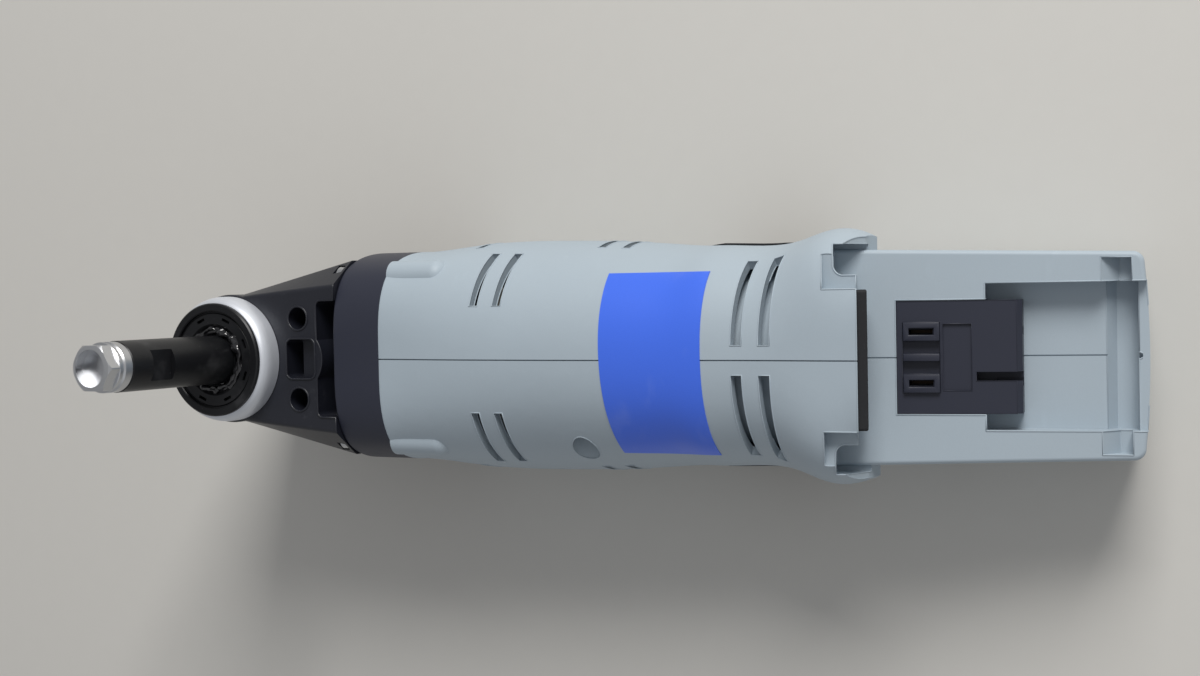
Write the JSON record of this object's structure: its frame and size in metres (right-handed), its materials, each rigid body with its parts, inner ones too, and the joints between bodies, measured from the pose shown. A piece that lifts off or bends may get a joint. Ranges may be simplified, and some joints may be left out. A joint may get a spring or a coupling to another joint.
{
  "type": "oscillating cast saw",
  "caption": "Cordless oscillating saw body with upright clamping spindle, cast gear head, vented grey shells and a sloping slide-in battery tray; no blade, no battery.",
  "frame": {"origin": "centre of the bounding box's base, where the saw rests on its back", "axes": "+X from the nose to the battery tray, +Z along the spindle towards the clamp screw"},
  "size_m": [0.2936, 0.0696, 0.1272],
  "materials": {
    "grey_plastic": "fine moulded texture",
    "black_plastic": "fine moulded texture",
    "black_rubber": "matt",
    "black_paint": "satin paint on a casting",
    "black_steel": "black oxide",
    "turned_aluminium": "turned",
    "bright_steel": "zinc plated",
    "screw_steel": "zinc plated",
    "bearing_steel": "ground",
    "plated_steel": "plated",
    "bronze": "sintered",
    "copper": "enamelled",
    "ferrite": "sintered",
    "white_nylon": "moulded",
    "board_green": "lacquered",
    "lead_red": "matt",
    "blue_film": "printed film"
  },
  "bodies": {
    "housing": {"left_housing": "grey_plastic", "right_housing": "grey_plastic", "housing_screws": "screw_steel", "label": "blue_film", "grip_saddle": "black_rubber", "bumper_strip": "black_rubber", "nose_band": "black_plastic", "gear_case": "black_paint", "gear_case_screws": "screw_steel", "clamping_neck": "turned_aluminium", "rim_ring": "black_steel", "slotted_nut": "black_steel", "spindle_seal": "black_rubber", "upper_bearing_outer": "bearing_steel", "bearing_balls": "bearing_steel", "lower_spindle_bush": "bronze", "front_rotor_bearing": "bearing_steel", "rear_rotor_bearing": "bearing_steel", "motor_can": "plated_steel", "motor_magnets": "ferrite", "motor_end_bell": "black_plastic", "brushes": "ferrite", "brush_springs": "bearing_steel", "switch_module": "black_plastic", "contact_block": "black_plastic", "contact_tabs": "bronze", "control_board": "board_green", "board_parts": "black_plastic", "motor_leads": "lead_red", "switch_leads": "lead_red"},
    "spindle": {"spindle": "black_steel", "fork_lever": "bearing_steel", "upper_bearing_inner": "bearing_steel"},
    "clamp_screw": {"clamp_screw": "bright_steel", "clamp_washer": "bright_steel", "spring_washer": "bright_steel"},
    "rotor": {"rotor_shaft": "bearing_steel", "eccentric_bearing": "bearing_steel", "balance_weight": "plated_steel", "front_bearing_inner": "bearing_steel", "rear_bearing_inner": "bearing_steel", "cooling_fan": "white_nylon", "rotor_core": "plated_steel", "rotor_windings": "copper", "commutator": "copper"},
    "switch": {"switch_slider": "black_plastic", "switch_rod": "white_nylon"}
  },
  "joints": [
    {"name": "spindle_oscillation", "type": "hinge", "parent": "housing", "child": "spindle", "pos_m": [-0.1268, 0, 0.035], "axis": [0, 0, 1], "range_deg": [-2.5, 2.5]},
    {"name": "clamp_screw_out", "type": "slide", "parent": "spindle", "child": "clamp_screw", "axis": [0, 0, 1], "range_m": [0, 0.022]},
    {"name": "rotor_spin", "type": "hinge", "parent": "housing", "child": "rotor", "pos_m": [-0.1268, 0, 0.035], "axis": [1, 0, 0], "continuous": true},
    {"name": "switch_slide", "type": "slide", "parent": "housing", "child": "switch", "axis": [-1, 0, 0], "range_m": [0, 0.009]}
  ]
}
